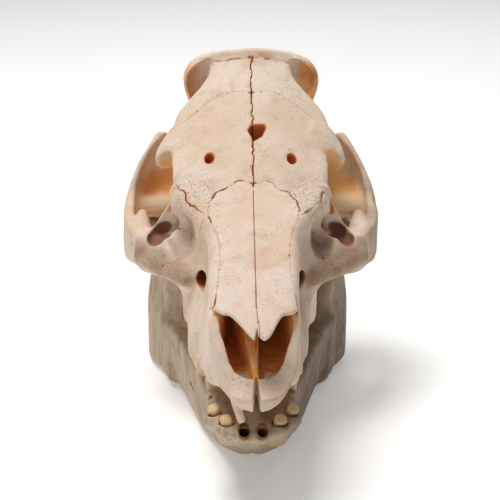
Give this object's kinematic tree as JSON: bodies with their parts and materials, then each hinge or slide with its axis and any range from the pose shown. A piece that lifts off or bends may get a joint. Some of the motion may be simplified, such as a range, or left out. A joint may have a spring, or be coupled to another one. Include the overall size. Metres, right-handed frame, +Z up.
{
  "type": "pig skull",
  "caption": "Life-size dry pig skull, long wedge-shaped cranium with flaring cheekbones resting on its mandible.",
  "frame": {"origin": "on the table under the middle of the bounding box", "axes": "+Z up, +Y from the snout to the back of the skull, +X to the animal's own left"},
  "size_m": [0.1552, 0.2434, 0.1971],
  "materials": {
    "cranium_bone": "dry bone, warm cream",
    "snout_bone": "dry bone, warm cream with a faint pink",
    "jaw_bone": "dry bone, grey beige"
  },
  "bodies": {
    "root": {"nasal_left": "snout_bone", "nasal_right": "snout_bone", "frontal_left": "cranium_bone", "frontal_right": "cranium_bone", "lacrimal_left": "cranium_bone", "lacrimal_right": "cranium_bone", "premaxilla_left": "snout_bone", "premaxilla_right": "snout_bone", "zygomatic_left": "cranium_bone", "zygomatic_right": "cranium_bone", "maxilla_left": "cranium_bone", "maxilla_right": "cranium_bone", "occipital": "cranium_bone", "parietal": "cranium_bone", "temporal_left": "cranium_bone", "temporal_right": "cranium_bone", "braincase": "cranium_bone", "mandible": "jaw_bone"}
  },
  "joints": []
}
